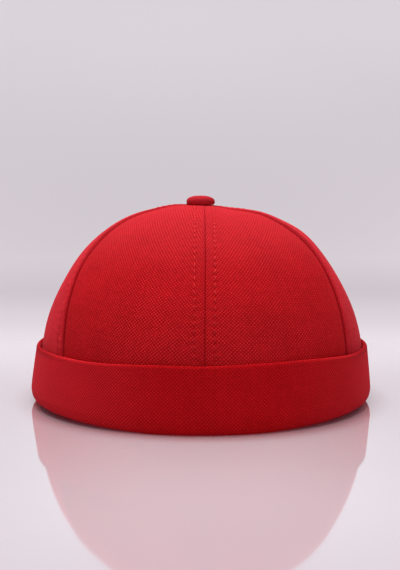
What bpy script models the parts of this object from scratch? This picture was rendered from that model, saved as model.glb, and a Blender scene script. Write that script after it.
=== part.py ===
"""Docker beanie: a brimless cap of six sewn crown panels, a turned-up cuff and a covered top button.

Lengths are metres and angles degrees. The origin is on the surface that the cap rests on, below the middle
of the crown. The front seam faces -Y and up is +Z. An azimuth is 0 at the front and grows towards +X.
"""

import math
from collections import namedtuple

import bmesh
import bpy
from mathutils import Vector

# The cuff, a doubled band that folds under the hem and stands up outside the crown.
CUFF_HALF_WIDTH = 0.0950  # outer face at its widest height
CUFF_HALF_DEPTH = 0.1060
CUFF_HEIGHT = 0.0339
CUFF_THICKNESS = 0.0025
CUFF_LEAN = 0.0028  # how far the outer face leans in from its widest height to the lip
LEAN_SKEW = 0.0006  # it leans in this much more on the left and this much less on the right
FOLD_RISE = 0.0025  # the widest line is this far above the fold's upper face
FOLD_INSET = 0.0024  # from the widest line in to where the lower edge turns flat
EDGE_LIFT = 0.0027  # the lower edge rises this much at the sides
LIP_DROP = 0.0030  # the lip's lowest place is this far below its highest

# The crown, which stands on the cuff's fold and comes up inside its lip.
CROWN_HEIGHT = 0.1078  # top of the cloth above the surface
CROWN_WALL = 0.0018
CROWN_CLEARANCE = 0.0006  # between the crown and the cuff's inner face
DOME_START = 0.0028  # the dome begins this far below the lip
SEAM_DEPTH = 0.0014  # how deep a side seam lies below the puff of its panels
BUTTON_HOLE_RADIUS = 0.0030

# The covered button.
BUTTON_RADIUS = 0.0080
BUTTON_HEIGHT = 0.0050
BUTTON_TUCK = 0.0010  # how far its underside draws in from its widest line
SHANK_CLEARANCE = 0.0005
SHANK_LENGTH = 0.0045
BUTTON_BELLY = 0.32  # height of the button's widest line, as a share of its height
BUTTON_SHOULDER = 2.7

# Pieces that touch in the sewn cap keep this much air.
PIECE_GAP = 0.0003

# The cuff's widest line, above its lower edge.
CUFF_BELLY = CUFF_THICKNESS + FOLD_RISE

# Shape exponents: a larger shoulder fills the dome out, a larger rise keeps its wall upright.
DOME_SHOULDER = 2.78
DOME_RISE = 1.42
LEAN_POWER = 1.15  # 1 would make the cuff's leg straight
PUFF_FALL = 4  # how sharply a panel's puff falls off at its seams
LIFT_START = 0.30  # share of the half-width that lies flat at the front and at the back
LIFT_POWER = 1.1
SEAM_FADE = 0.30  # share of the climb, below the button, over which the seams flatten out

# Mesh density.
CUFF_STEPS = 72
LEG_STEPS = 5
CURVE_STEPS = 5
PANEL_COLUMNS = 10
WALL_ROWS = 4
DOME_ROWS = 12
BUTTON_STEPS = 24

# Seams lean round the crown as they climb. Depth is a share of SEAM_DEPTH.
Seam = namedtuple("Seam", "hem_azimuth top_azimuth depth")
SEAMS = {
    "front": Seam(hem_azimuth=0.0, top_azimuth=0.0, depth=0.4),
    "right": Seam(hem_azimuth=59.0, top_azimuth=68.0, depth=1.0),
    "back_right": Seam(hem_azimuth=122.0, top_azimuth=124.0, depth=1.0),
    "back": Seam(hem_azimuth=180.0, top_azimuth=180.0, depth=0.6),
    "back_left": Seam(hem_azimuth=238.0, top_azimuth=234.0, depth=1.0),
    "left": Seam(hem_azimuth=306.5, top_azimuth=284.0, depth=1.0),
    "front_again": Seam(hem_azimuth=360.0, top_azimuth=360.0, depth=0.4),
}

# The lip's line round the cap. Drop is a share of LIP_DROP.
LipMark = namedtuple("LipMark", "azimuth drop")
LIP_LINE = (
    LipMark(azimuth=0.0, drop=0.20),
    LipMark(azimuth=16.0, drop=0.0),
    LipMark(azimuth=28.0, drop=0.0),
    LipMark(azimuth=66.0, drop=0.88),
    LipMark(azimuth=100.0, drop=0.94),
    LipMark(azimuth=180.0, drop=0.35),
    LipMark(azimuth=265.0, drop=1.0),
    LipMark(azimuth=315.0, drop=0.68),
    LipMark(azimuth=348.0, drop=0.16),
    LipMark(azimuth=360.0, drop=0.20),
)

# A panel runs from one seam to the next, going round from the front.
Panel = namedtuple("Panel", "name first second")
PANELS = (
    Panel(name="front_right_panel", first="front", second="right"),
    Panel(name="side_right_panel", first="right", second="back_right"),
    Panel(name="back_right_panel", first="back_right", second="back"),
    Panel(name="back_left_panel", first="back", second="back_left"),
    Panel(name="side_left_panel", first="back_left", second="left"),
    Panel(name="front_left_panel", first="left", second="front_again"),
)

# Finish of each kind of piece: linear base colour and roughness.
Finish = namedtuple("Finish", "colour roughness")
CROWN_CLOTH = Finish(colour=(0.45, 0.012, 0.018), roughness=0.85)
CUFF_CLOTH = Finish(colour=(0.33, 0.006, 0.010), roughness=0.88)
BUTTON_CLOTH = Finish(colour=(0.40, 0.012, 0.020), roughness=0.80)


def smooth_step(share):
    """0 to 1 with level ends."""
    share = min(max(share, 0.0), 1.0)
    return share * share * (3.0 - 2.0 * share)


def plan_point(azimuth, inset, spread=1.0):
    """A point of the oval plan, inset from the cuff's widest line and drawn in to a share of that."""
    angle = math.radians(azimuth)
    x = (CUFF_HALF_WIDTH - inset) * spread * math.sin(angle)
    y = -(CUFF_HALF_DEPTH - inset) * spread * math.cos(angle)
    return x, y


def edge_height(azimuth):
    """The lower edge lies flat at the front and at the back, and lifts towards the sides."""
    aside = abs(math.sin(math.radians(azimuth)))
    return EDGE_LIFT * max(0.0, (aside - LIFT_START) / (1.0 - LIFT_START)) ** LIFT_POWER


def lip_height(azimuth):
    """The crest of the lip, which eases from each mark of its line to the next."""
    for near, far in zip(LIP_LINE, LIP_LINE[1:]):
        if azimuth <= far.azimuth:
            break
    along = smooth_step((azimuth - near.azimuth) / (far.azimuth - near.azimuth))
    return CUFF_HEIGHT - LIP_DROP * (near.drop + (far.drop - near.drop) * along)


def dome_base():
    """Height where the crown's wall ends and its dome begins, a little below the lip."""
    return CUFF_HEIGHT - DOME_START


def full_lean(azimuth):
    """How far the cuff's leg leans in by the height where the dome begins."""
    return CUFF_LEAN - LEAN_SKEW * math.sin(math.radians(azimuth))


def lean_at(height, azimuth):
    """How far the cuff's leg, and the crown's wall inside it, lean in at this height."""
    belly = edge_height(azimuth) + CUFF_BELLY
    share = (height - belly) / (dome_base() - belly)
    return full_lean(azimuth) * min(max(share, 0.0), 1.0) ** LEAN_POWER


def cuff_section(azimuth):
    """The cuff's closed outline at one azimuth, as (inset, height) pairs, outwards along the bottom first."""
    low = edge_height(azimuth)
    lip_radius = CUFF_THICKNESS / 2.0
    leg_top = lip_height(azimuth) - lip_radius
    belly = low + CUFF_BELLY
    web_inset = CUFF_THICKNESS + CROWN_CLEARANCE + CROWN_WALL
    outline = [(web_inset, low)]
    for step in range(CURVE_STEPS + 1):
        turn = 0.5 * math.pi * step / CURVE_STEPS
        outline.append((FOLD_INSET * (1.0 - math.sin(turn)), low + CUFF_BELLY * (1.0 - math.cos(turn))))
    leg_heights = [belly + (leg_top - belly) * step / LEG_STEPS for step in range(LEG_STEPS + 1)]
    for height in leg_heights[1:]:
        outline.append((lean_at(height, azimuth), height))
    for step in range(1, CURVE_STEPS):
        turn = math.pi * step / CURVE_STEPS
        inset = lean_at(leg_top, azimuth) + lip_radius * (1.0 - math.cos(turn))
        outline.append((inset, leg_top + lip_radius * math.sin(turn)))
    for height in reversed(leg_heights):
        outline.append((lean_at(height, azimuth) + CUFF_THICKNESS, height))
    outline.append((CUFF_THICKNESS, low + CUFF_THICKNESS))
    outline.append((web_inset, low + CUFF_THICKNESS))
    return outline


def crown_half_width():
    """Outer half-width of the dome where it begins, just inside the lip."""
    return CUFF_HALF_WIDTH - CUFF_LEAN - CUFF_THICKNESS - CROWN_CLEARANCE


def crown_point(azimuth, row):
    """A point of the crown's outer face without its puff. Rows count up the wall and then over the dome."""
    inset = CUFF_THICKNESS + CROWN_CLEARANCE
    if row < WALL_ROWS:
        hem = edge_height(azimuth) + CUFF_THICKNESS + PIECE_GAP
        belly = edge_height(azimuth) + CUFF_BELLY
        height = hem + (belly - hem) * row
        if row > 1:
            height = belly + (dome_base() - belly) * (row - 1) / (WALL_ROWS - 1)
        x, y = plan_point(azimuth, inset + lean_at(height, azimuth))
        return Vector((x, y, height))
    smallest_spread = BUTTON_HOLE_RADIUS / crown_half_width()
    last_turn = math.acos(smallest_spread ** (DOME_SHOULDER / 2.0))
    turn = last_turn * (row - WALL_ROWS) / DOME_ROWS
    spread = math.cos(turn) ** (2.0 / DOME_SHOULDER)
    x, y = plan_point(azimuth, inset + full_lean(azimuth), spread)
    return Vector((x, y, dome_base() + (CROWN_HEIGHT - dome_base()) * math.sin(turn) ** (2.0 / DOME_RISE)))


def crown_normal(azimuth, row):
    """Outward direction of the crown's smooth face, from two short steps along it."""
    nudge = 0.01
    across = crown_point(azimuth + nudge, row) - crown_point(azimuth - nudge, row)
    along = crown_point(azimuth, row + nudge) - crown_point(azimuth, row)
    return across.cross(along).normalized()


def seam_azimuth(seam, height):
    """A seam's azimuth where its cloth is this high."""
    climb = max(0.0, (height - dome_base()) / (CROWN_HEIGHT - dome_base()))
    return seam.hem_azimuth + (seam.top_azimuth - seam.hem_azimuth) * climb


def panel_row(first, second, row):
    """One row of a panel's outer points, from half a gap past its first seam to half a gap before its second."""
    ends = []
    for seam, side in ((first, 1.0), (second, -1.0)):
        azimuth = seam_azimuth(seam, crown_point(seam.hem_azimuth, row).z)
        per_degree = (crown_point(azimuth + 1.0, row).xy - crown_point(azimuth, row).xy).length
        ends.append(azimuth + side * 0.5 * PIECE_GAP / per_degree)
    to_top = (WALL_ROWS + DOME_ROWS - row) / DOME_ROWS
    fade = smooth_step(to_top / SEAM_FADE)
    points = []
    for column in range(PANEL_COLUMNS + 1):
        share = column / PANEL_COLUMNS
        azimuth = ends[0] + (ends[1] - ends[0]) * share
        depth = first.depth if share < 0.5 else second.depth
        dip = SEAM_DEPTH * depth * fade * abs(2.0 * share - 1.0) ** PUFF_FALL
        points.append(crown_point(azimuth, row) - crown_normal(azimuth, row) * dip)
    return points


def join_rows(mesh_data, rows, closed):
    """Quads between neighbouring rows of vertices, all rows of one length."""
    count = len(rows[0])
    for lower, upper in zip(rows, rows[1:]):
        for index in range(count if closed else count - 1):
            after = (index + 1) % count
            mesh_data.faces.new((lower[index], lower[after], upper[after], upper[index]))


def make_material(name, finish):
    material = bpy.data.materials.new(name)
    material.use_nodes = True
    shader = material.node_tree.nodes["Principled BSDF"]
    shader.inputs["Base Color"].default_value = (*finish.colour, 1.0)
    shader.inputs["Roughness"].default_value = finish.roughness
    shader.inputs["Metallic"].default_value = 0.0
    return material


def add_object(name, mesh_data, finish):
    """A named object from a bmesh, shaded smooth, with its own material."""
    mesh = bpy.data.meshes.new(name)
    mesh_data.to_mesh(mesh)
    mesh_data.free()
    mesh.shade_smooth()
    mesh.set_sharp_from_angle(angle=math.radians(40.0))
    mesh.materials.append(make_material(name + "_cloth", finish))
    piece = bpy.data.objects.new(name, mesh)
    bpy.context.scene.collection.objects.link(piece)
    return piece


def make_panel(panel):
    """A panel's outer sheet, given its cloth's thickness inwards."""
    first, second = SEAMS[panel.first], SEAMS[panel.second]
    sheet = bmesh.new()
    rows = []
    for row in range(WALL_ROWS + DOME_ROWS + 1):
        rows.append([sheet.verts.new(point) for point in panel_row(first, second, row)])
    join_rows(sheet, rows, closed=False)
    piece = add_object(panel.name, sheet, CROWN_CLOTH)
    wall = piece.modifiers.new("wall", "SOLIDIFY")
    wall.thickness = CROWN_WALL
    wall.offset = -1.0
    wall.use_even_offset = True
    return piece


def make_cuff():
    """The cuff's section carried once round the oval."""
    ring = bmesh.new()
    sections = []
    for step in range(CUFF_STEPS):
        azimuth = 360.0 * step / CUFF_STEPS
        section = []
        for inset, height in cuff_section(azimuth):
            x, y = plan_point(azimuth, inset)
            section.append(ring.verts.new((x, y, height)))
        sections.append(section)
    join_rows(ring, sections + sections[:1], closed=True)
    bmesh.ops.recalc_face_normals(ring, faces=ring.faces)
    return add_object("cuff", ring, CUFF_CLOTH)


def button_profile():
    """The button's half outline as (radius, height) pairs, from the middle of its top down to its shank."""
    foot = CROWN_HEIGHT + PIECE_GAP
    belly = BUTTON_BELLY * BUTTON_HEIGHT
    profile = []
    for step in range(2 * CURVE_STEPS + 1):
        turn = 0.5 * math.pi * (1.0 - step / (2 * CURVE_STEPS))
        radius = BUTTON_RADIUS * abs(math.cos(turn)) ** (2.0 / BUTTON_SHOULDER)
        height = belly + (BUTTON_HEIGHT - belly) * math.sin(turn) ** (2.0 / BUTTON_SHOULDER)
        profile.append((radius, foot + height))
    for step in range(1, CURVE_STEPS + 1):
        turn = 0.5 * math.pi * step / CURVE_STEPS
        radius = BUTTON_RADIUS - BUTTON_TUCK * (1.0 - math.cos(turn))
        profile.append((radius, foot + belly * (1.0 - math.sin(turn))))
    shank_radius = BUTTON_HOLE_RADIUS - SHANK_CLEARANCE
    profile.append((shank_radius, foot))
    profile.append((shank_radius, foot - SHANK_LENGTH))
    profile.append((0.0, foot - SHANK_LENGTH))
    return profile


def make_button():
    """The button's half outline spun about the upright axis."""
    turned = bmesh.new()
    vertices = [turned.verts.new((radius, 0.0, height)) for radius, height in button_profile()]
    edges = [turned.edges.new(pair) for pair in zip(vertices, vertices[1:])]
    bmesh.ops.spin(
        turned,
        geom=vertices + edges,
        cent=(0.0, 0.0, 0.0),
        axis=(0.0, 0.0, 1.0),
        angle=2.0 * math.pi,
        steps=BUTTON_STEPS,
    )
    bmesh.ops.remove_doubles(turned, verts=turned.verts, dist=1e-6)
    bmesh.ops.recalc_face_normals(turned, faces=turned.faces)
    return add_object("top_button", turned, BUTTON_CLOTH)


def main():
    for old in list(bpy.data.objects):
        bpy.data.objects.remove(old, do_unlink=True)
    for panel in PANELS:
        make_panel(panel)
    make_cuff()
    make_button()


main()
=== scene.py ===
import math

import bmesh
import bpy
import numpy as np
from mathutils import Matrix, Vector


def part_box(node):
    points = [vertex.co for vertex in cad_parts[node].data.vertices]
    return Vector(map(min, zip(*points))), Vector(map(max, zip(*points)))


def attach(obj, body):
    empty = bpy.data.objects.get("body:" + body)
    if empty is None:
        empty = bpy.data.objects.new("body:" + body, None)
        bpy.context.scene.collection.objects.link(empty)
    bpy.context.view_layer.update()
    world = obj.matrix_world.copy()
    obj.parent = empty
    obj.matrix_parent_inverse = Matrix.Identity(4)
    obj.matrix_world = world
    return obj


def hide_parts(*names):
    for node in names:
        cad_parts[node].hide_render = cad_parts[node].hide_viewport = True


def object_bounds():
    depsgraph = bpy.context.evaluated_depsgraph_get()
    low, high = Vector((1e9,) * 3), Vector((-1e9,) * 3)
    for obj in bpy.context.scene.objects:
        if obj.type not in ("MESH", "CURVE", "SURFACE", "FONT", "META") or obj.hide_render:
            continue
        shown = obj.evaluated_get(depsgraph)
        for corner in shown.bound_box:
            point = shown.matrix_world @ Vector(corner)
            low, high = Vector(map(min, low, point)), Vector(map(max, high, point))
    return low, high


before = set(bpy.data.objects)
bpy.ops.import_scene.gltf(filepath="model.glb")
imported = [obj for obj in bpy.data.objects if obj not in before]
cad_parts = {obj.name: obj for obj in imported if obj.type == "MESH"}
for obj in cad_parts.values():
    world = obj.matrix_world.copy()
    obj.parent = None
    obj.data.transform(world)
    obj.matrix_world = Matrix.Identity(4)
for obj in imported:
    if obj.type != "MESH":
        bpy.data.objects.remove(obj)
cadLow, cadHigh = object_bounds()
print("Frame loaded with", len(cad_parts), "solids")

mm = 0.001
scene = bpy.context.scene


# Small tools that several pieces use

def wireMath(operation, swapped=False):
    def addMath(self, *values):
        terms = (*values, self) if swapped else (self, *values)
        return output(self.tree, "ShaderNodeMath", enumerate(terms), operation=operation)
    return addMath


class Wire:
    # an output in a node tree: arithmetic on it adds Math nodes to the tree
    def __init__(self, socket):
        self.socket = socket
        self.tree = socket.id_data

    __add__ = wireMath("ADD")
    __mul__ = wireMath("MULTIPLY")
    __sub__ = wireMath("SUBTRACT")
    __rsub__ = wireMath("SUBTRACT", swapped=True)
    __truediv__ = wireMath("DIVIDE")
    __rtruediv__ = wireMath("DIVIDE", swapped=True)
    __pow__ = wireMath("POWER")
    __abs__ = wireMath("ABSOLUTE")
    least = wireMath("MINIMUM")
    most = wireMath("MAXIMUM")
    floor = wireMath("FLOOR")
    sine = wireMath("SINE")
    cosine = wireMath("COSINE")
    rounded = wireMath("ROUND")

    def __neg__(self):
        return self * -1.0


def plug(node, inputs):
    # each socket takes a wire or a plain value, and a colour may leave out its alpha
    for key, value in dict(inputs).items():
        socket = node.inputs[key]
        if isinstance(value, Wire):
            node.id_data.links.new(value.socket, socket)
        elif socket.type == "RGBA" and len(value) == 3:
            socket.default_value = (*value, 1.0)
        else:
            socket.default_value = value


def addNode(tree, kind, inputs=(), **settings):
    made = tree.nodes.new(kind)
    for name, value in settings.items():
        setattr(made, name, value)
    plug(made, inputs)
    return made


def output(tree, kind, inputs=(), key=0, **settings):
    # one output of a new node, by its number or name
    return Wire(addNode(tree, kind, inputs, **settings).outputs[key])


def split(vector):
    return [Wire(part) for part in addNode(vector.tree, "ShaderNodeSeparateXYZ", {0: vector}).outputs]


def join(tree, *parts):
    return output(tree, "ShaderNodeCombineXYZ", enumerate(parts))


def vectorMath(operation, first, second=None, key=0):
    inputs = {0: first} if second is None else {0: first, 1: second}
    return output(first.tree, "ShaderNodeVectorMath", inputs, key, operation=operation)


def scaled(vector, scale):
    return output(vector.tree, "ShaderNodeVectorMath", {0: vector, "Scale": scale}, operation="SCALE")


def length(vector):
    return vectorMath("LENGTH", vector, key="Value")


def noise(vector, scale, detail, key="Fac"):
    inputs = {"Vector": vector, "Scale": scale, "Detail": detail}
    return output(vector.tree, "ShaderNodeTexNoise", inputs, key)


def objectPlace(tree):
    return output(tree, "ShaderNodeTexCoord", key="Object")


def rise(value, low, high):
    # from 0 at low to 1 at high, with soft ends
    limits = {"Value": value, "From Min": low, "From Max": high}
    return output(value.tree, "ShaderNodeMapRange", limits, interpolation_type="SMOOTHSTEP")


def mixColour(blend, amount, first, second):
    # sockets 6 and 7 are the two colours of the mix, and output 2 is the mixed one
    tree = next(value.tree for value in (amount, first, second) if isinstance(value, Wire))
    inputs = {0: amount, 6: first, 7: second}
    return output(tree, "ShaderNodeMix", inputs, 2, data_type="RGBA", blend_type=blend)


def newTree(name, kind, inputs, outputs):
    # inputs and outputs are lists of names, each under the kind of its sockets
    tree = bpy.data.node_groups.new(name, kind)
    for direction, sockets in (("INPUT", inputs), ("OUTPUT", outputs)):
        for socketKind, labels in sockets.items():
            for label in labels:
                tree.interface.new_socket(name=label, in_out=direction, socket_type="NodeSocket" + socketKind)
    entry = {socket.name: Wire(socket) for socket in addNode(tree, "NodeGroupInput").outputs}
    return tree, entry


def finishTree(tree, entry, geometry, name):
    # the export drops instances, so they are made real, and then the material is set
    smooth = output(tree, "GeometryNodeSetShadeSmooth", {"Geometry": geometry, "Shade Smooth": True})
    real = output(tree, "GeometryNodeRealizeInstances", {"Geometry": smooth})
    painted = output(tree, "GeometryNodeSetMaterial", {"Geometry": real, "Material": entry["material"]})
    addNode(tree, "NodeGroupOutput", {name: painted})
    return tree


def newMaterial(name):
    material = bpy.data.materials.new(name)
    material.use_nodes = True
    return material, material.node_tree, material.node_tree.nodes["Principled BSDF"]


def addObject(name, data):
    made = bpy.data.objects.new(name, data)
    scene.collection.objects.link(made)
    return made


def growWithNodes(obj, tree, values):
    # runs the tree on the object, with the values that its inputs name, and leaves a plain mesh behind
    modifier = obj.modifiers.new("grow", "NODES")
    modifier.node_group = tree
    for item in tree.interface.items_tree:
        if item.in_out == "INPUT" and item.name in values:
            modifier[item.identifier] = values[item.name]
    depsgraph = bpy.context.evaluated_depsgraph_get()
    grown = bpy.data.meshes.new_from_object(obj.evaluated_get(depsgraph), depsgraph=depsgraph)
    obj.modifiers.clear()
    obj.data = grown


def faceOutward(mesh):
    work = bmesh.new()
    work.from_mesh(mesh)
    bmesh.ops.recalc_face_normals(work, faces=work.faces)
    work.to_mesh(mesh)
    work.free()


def readVectors(layer, key):
    flat = np.empty(len(layer) * 3, np.float32)
    layer.foreach_get(key, flat)
    return flat.reshape(-1, 3).astype(float)


def writePoints(mesh, points):
    mesh.vertices.foreach_set("co", points.astype(np.float32).ravel())
    mesh.update()


def storeFloats(mesh, name, values):
    attribute = mesh.attributes.new(name, "FLOAT", "POINT")
    attribute.data.foreach_set("value", np.asarray(values, np.float32))


def runAlong(points):
    # how far along a line each of its points lies
    steps = np.linalg.norm(np.diff(points, axis=0), axis=1)
    return np.concatenate([[0.0], np.cumsum(steps)])


def smoothStep(share):
    share = np.clip(share, 0.0, 1.0)
    return share * share * (3.0 - 2.0 * share)


def ramp(value, low, high):
    return smoothStep((value - low) / (high - low))


def hump(away, width):
    return np.exp(-((away / width) ** 2))


def wobble(points, shape):
    # crossing waves of about the shape's wobbleSize, for cloth that isn't machine smooth
    random = np.random.default_rng(shape["wobbleSeed"])
    waves = 7
    total = np.zeros(points.shape[:-1])
    for _ in range(waves):
        direction = random.normal(size=3)
        direction /= np.linalg.norm(direction)
        turnsPerMetre = 2.0 * math.pi / (shape["wobbleSize"] * random.uniform(0.7, 1.6))
        total += np.sin(points @ direction * turnsPerMetre + random.uniform(0.0, 2.0 * math.pi))
    return shape["wobble"] * total / math.sqrt(2.0 * waves)


# Camera

viewpoint = {
    "distance": 0.700,
    "height": 0.1342,
    "pitchDown": 0.102,
    "turn": 0.026,  # the front seam faces this far to the camera's right, in radians
    "lens": 79.04,
    "shiftX": -0.0012,
    "shiftY": 0.0012,
}

cameraData = bpy.data.cameras.new("camera")
cameraData.lens = viewpoint["lens"]
cameraData.sensor_width = 36.0
cameraData.shift_x = viewpoint["shiftX"]
cameraData.shift_y = viewpoint["shiftY"]
camera = addObject("camera", cameraData)
camera.location = (
    -viewpoint["distance"] * math.sin(viewpoint["turn"]),
    -viewpoint["distance"] * math.cos(viewpoint["turn"]),
    viewpoint["height"],
)
camera.rotation_euler = (0.5 * math.pi - viewpoint["pitchDown"], 0.0, -viewpoint["turn"])
scene.camera = camera


# Floor, backdrop and light

studio = {
    "floorRadius": 1.00,
    "bend": 0.55,  # radius of the bend from floor to wall
    "wallHeight": 2.30,
    "floorDrop": 0.05 * mm,
    "turnSteps": 96,
    "gloss": 0.05,
    "coat": 1.0,
    "coatIor": 2.1,
    "specular": 0.6,
    "speckle": 0.30,  # how much the polish varies, above speckleBase
    "speckleBase": 0.84,
    "speckleScale": 3500.0,
    "colour": (0.420, 0.371, 0.408),
    "farShade": 0.45,  # how much darker the paper is far behind and on the wall
    "glowColour": (1.0, 0.968, 1.004),
    # painted red bounce light: the glow's colour beneath the cap
    "paintedBounceColour": (1.0, 0.10, 0.17),
    "wallGlow": 0.337,
    "tallGlow": 0.175,
    "floorGlow": 0.112,
    "frontGlow": 0.16,  # what the wall behind the camera gives besides
    "paintedPoolGlow": 0.18,  # a painted pool of light on the table just before the cap
    "bandGlow": 0.175,
    "sideShade": 0.85,  # how much dimmer the wall is at either side
    "glossFade": (0.10, 0.34),  # the polish fades between these depths behind the cap
    "glossReach": (0.45, 0.75),  # and between these distances all round
    "dullGloss": 0.60,
    "thinFade": (0.06, 0.42),  # it thins between these distances before the cap
    "thinShare": 0.60,
    "paintedShadowFade": (0.93, 1.16),  # painted shadow: the glow fades beneath the cap, as shares of its own size
    "paintedShadowStrength": 0.62,
    "bandRise": (0.02, 0.15),  # the table is brightest between these depths behind the cap
    "bandFall": (0.26, 0.60),
    "bandSides": (0.30, 0.90),
    "wallRise": (0.08, 1.35),
    "tallRise": (0.0, 0.40),
    "sideRise": (0.40, 0.85),  # shares of the way from straight ahead to straight aside
    "frontRise": (0.75, 1.30),
    "frontSides": (0.30, 0.70),
    "paintedPoolRise": (0.00, 0.13),
    "paintedPoolFall": (0.17, 0.36),
    "paintedPoolSides": (0.02, 0.13),
    "skyColour": (0.96, 0.94, 0.98),
    "skyStrength": 0.35,
    "lampAim": (0.0, 0.0, 0.05),
    "viewTransform": "Standard",
}
lights = {
    "top": {"place": (-0.08, 0.16, 1.18), "size": 0.80, "power": 17.5, "colour": (1.0, 0.985, 0.98)},
    "left": {"place": (-0.78, 1.00, 0.45), "size": 0.50, "power": 4.3, "colour": (1.0, 0.97, 0.98)},
    "right": {"place": (0.78, 1.00, 0.45), "size": 0.50, "power": 5.5, "colour": (1.0, 0.97, 0.98)},
}


def makeStudio():
    profile = [(radius, 0.0) for radius in np.linspace(0.0, studio["floorRadius"], 9)]
    for turn in np.linspace(0.0, 0.5 * math.pi, 13)[1:]:
        radius = studio["floorRadius"] + studio["bend"] * math.sin(turn)
        profile.append((radius, studio["bend"] * (1.0 - math.cos(turn))))
    profile.append((profile[-1][0], studio["wallHeight"]))
    turned = bmesh.new()
    corners = [turned.verts.new((radius, 0.0, height - studio["floorDrop"])) for radius, height in profile]
    edges = [turned.edges.new(pair) for pair in zip(corners, corners[1:])]
    bmesh.ops.spin(turned, geom=corners + edges, cent=(0, 0, 0), axis=(0, 0, 1), angle=2.0 * math.pi,
                   steps=studio["turnSteps"])
    bmesh.ops.remove_doubles(turned, verts=turned.verts, dist=1e-5)
    bmesh.ops.recalc_face_normals(turned, faces=turned.faces)
    if min(face.normal.z for face in turned.faces) < -0.5:
        bmesh.ops.reverse_faces(turned, faces=turned.faces)
    mesh = bpy.data.meshes.new("studio")
    turned.to_mesh(mesh)
    turned.free()
    mesh.shade_smooth()
    mesh.materials.append(makeStudioMaterial())
    backdrop = addObject("studio", mesh)


def makeStudioMaterial():
    material, tree, shader = newMaterial("studio paper")
    place = objectPlace(tree)
    x, y, z = split(place)
    flat = join(tree, x, y)
    radius = length(flat)
    aside = abs(x) / radius.most(0.1)
    forward = -y

    dull = rise(y, *studio["glossFade"]).most(rise(radius, *studio["glossReach"]))
    far = tuple(part * (1.0 - studio["farShade"]) for part in studio["colour"])
    # the polish is very slightly uneven
    speckle = noise(place, studio["speckleScale"], 0.0) * studio["speckle"] + studio["speckleBase"]
    thinner = 1.0 - rise(forward, *studio["thinFade"]) * studio["thinShare"]

    wall = rise(radius, *studio["wallRise"])
    glow = wall * (studio["wallGlow"] - studio["floorGlow"]) + studio["floorGlow"]
    glow = glow + rise(z, *studio["tallRise"]) * studio["tallGlow"]
    glow = glow * (1.0 - wall * rise(aside, *studio["sideRise"]) * studio["sideShade"])
    band = rise(y, *studio["bandRise"]) * (1.0 - rise(y, *studio["bandFall"]))
    glow = glow + band * (1.0 - rise(abs(x), *studio["bandSides"])) * studio["bandGlow"]
    ahead = rise(forward, *studio["frontRise"]) * (1.0 - rise(aside, *studio["frontSides"]))
    glow = glow + ahead * studio["frontGlow"]
    # a painted pool of light on the table just before the cap, which lightens the cap's shadow there
    paintedPool = rise(forward, *studio["paintedPoolRise"]) * (1.0 - rise(forward, *studio["paintedPoolFall"]))
    glow = glow + paintedPool * (1.0 - rise(abs(x), *studio["paintedPoolSides"])) * studio["paintedPoolGlow"]
    # painted shadow and painted red bounce light: beneath the cap the floor's glow is dimmed and turned red
    size = cadHigh - cadLow
    fromCap = length(vectorMath("MULTIPLY", flat, (2.0 / size.x, 2.0 / size.y, 0.0)))
    # painted shadow: 1 beneath the cap, fading to 0 clear of it
    under = 1.0 - rise(fromCap, *studio["paintedShadowFade"])
    plug(shader, {
        "Base Color": mixColour("MIX", dull, studio["colour"], far),
        "Roughness": dull * (studio["dullGloss"] - studio["gloss"]) + studio["gloss"],
        "Specular IOR Level": studio["specular"],
        "Coat Weight": (1.0 - dull) * studio["coat"] * thinner * speckle,
        "Coat Roughness": studio["gloss"],
        "Coat IOR": studio["coatIor"],
        "Emission Color": mixColour("MIX", under, studio["glowColour"], studio["paintedBounceColour"]),
        "Emission Strength": glow * (1.0 - under * studio["paintedShadowStrength"]),
    })
    return material


def makeLights():
    for name, light in lights.items():
        data = bpy.data.lights.new(name + " light", "AREA")
        data.shape = "SQUARE"
        data.size = light["size"]
        data.energy = light["power"]
        data.color = light["colour"]
        lamp = addObject(name + "Light", data)
        lamp.location = light["place"]
        aim = Vector(studio["lampAim"]) - Vector(light["place"])
        lamp.rotation_euler = aim.to_track_quat("-Z", "Y").to_euler()
        lamp.visible_camera = False
        lamp.visible_glossy = False
    world = bpy.data.worlds.new("studio air")
    world.use_nodes = True
    sky = world.node_tree.nodes["Background"]
    plug(sky, {"Color": studio["skyColour"], "Strength": studio["skyStrength"]})
    scene.world = world
    scene.view_settings.view_transform = studio["viewTransform"]


makeStudio()
makeLights()
print("Studio ready")


# Cloth

weave = {
    "pitch": 0.94 * mm,
    "depth": 0.22 * mm,
    "slub": 0.19,  # how unevenly the threads run
    "slubScale": 160.0,
    "slubGain": 4.0,
    "crispness": 1.7,  # how sharply warp and weft change places
    "roundness": 0.52,
    "dip": 0.45,
    "gap": 1.6,
    "fuzz": 0.22,
    "fuzzScale": 3800.0,
}


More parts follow.
